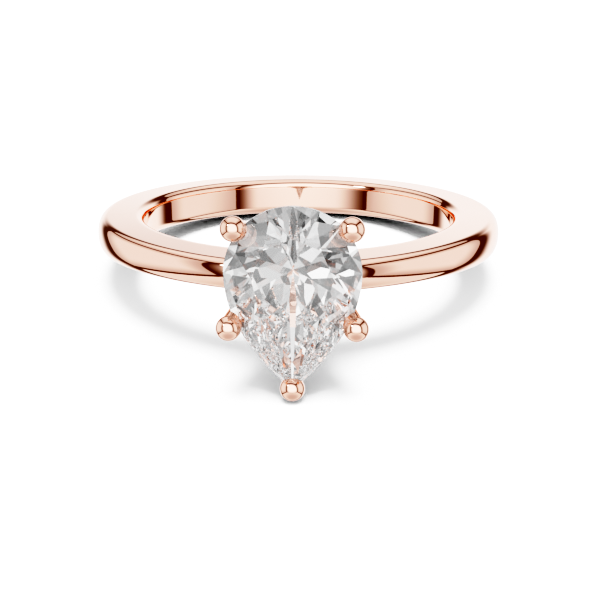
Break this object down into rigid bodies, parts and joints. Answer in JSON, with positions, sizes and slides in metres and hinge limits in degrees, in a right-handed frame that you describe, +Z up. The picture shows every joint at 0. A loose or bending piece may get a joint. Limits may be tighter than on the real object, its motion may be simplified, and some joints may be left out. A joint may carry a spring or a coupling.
{
  "type": "engagement ring",
  "caption": "Solitaire finger ring: plain tapering precious-metal band with a pear brilliant held point down in a ball-tipped wire prong head with rails.",
  "frame": {"origin": "centre of the footprint's bounding box, on the surface the ring lies on, with the ring lying on the back of its band and on the tip prong", "axes": "+Z up from the table; the head faces -Y; +X to the right seen from the head; the band's own axis leans back from +Z by the rest tilt of 9.08 degrees in the YZ plane"},
  "size_m": [0.0214, 0.0252, 0.0085],
  "materials": {
    "rose_gold_band": "mirror polished 14 k rose gold",
    "rose_gold_prongs": "mirror polished 14 k rose gold",
    "rose_gold_rails": "mirror polished 14 k rose gold",
    "diamond": "polished colourless diamond"
  },
  "bodies": {
    "root": {"shank": "rose_gold_band", "centre_stone": "diamond", "prong_upper_left": "rose_gold_prongs", "prong_upper_right": "rose_gold_prongs", "prong_lower_left": "rose_gold_prongs", "prong_lower_right": "rose_gold_prongs", "prong_tip": "rose_gold_prongs", "gallery_rail": "rose_gold_rails", "base_rail": "rose_gold_rails"}
  },
  "joints": []
}
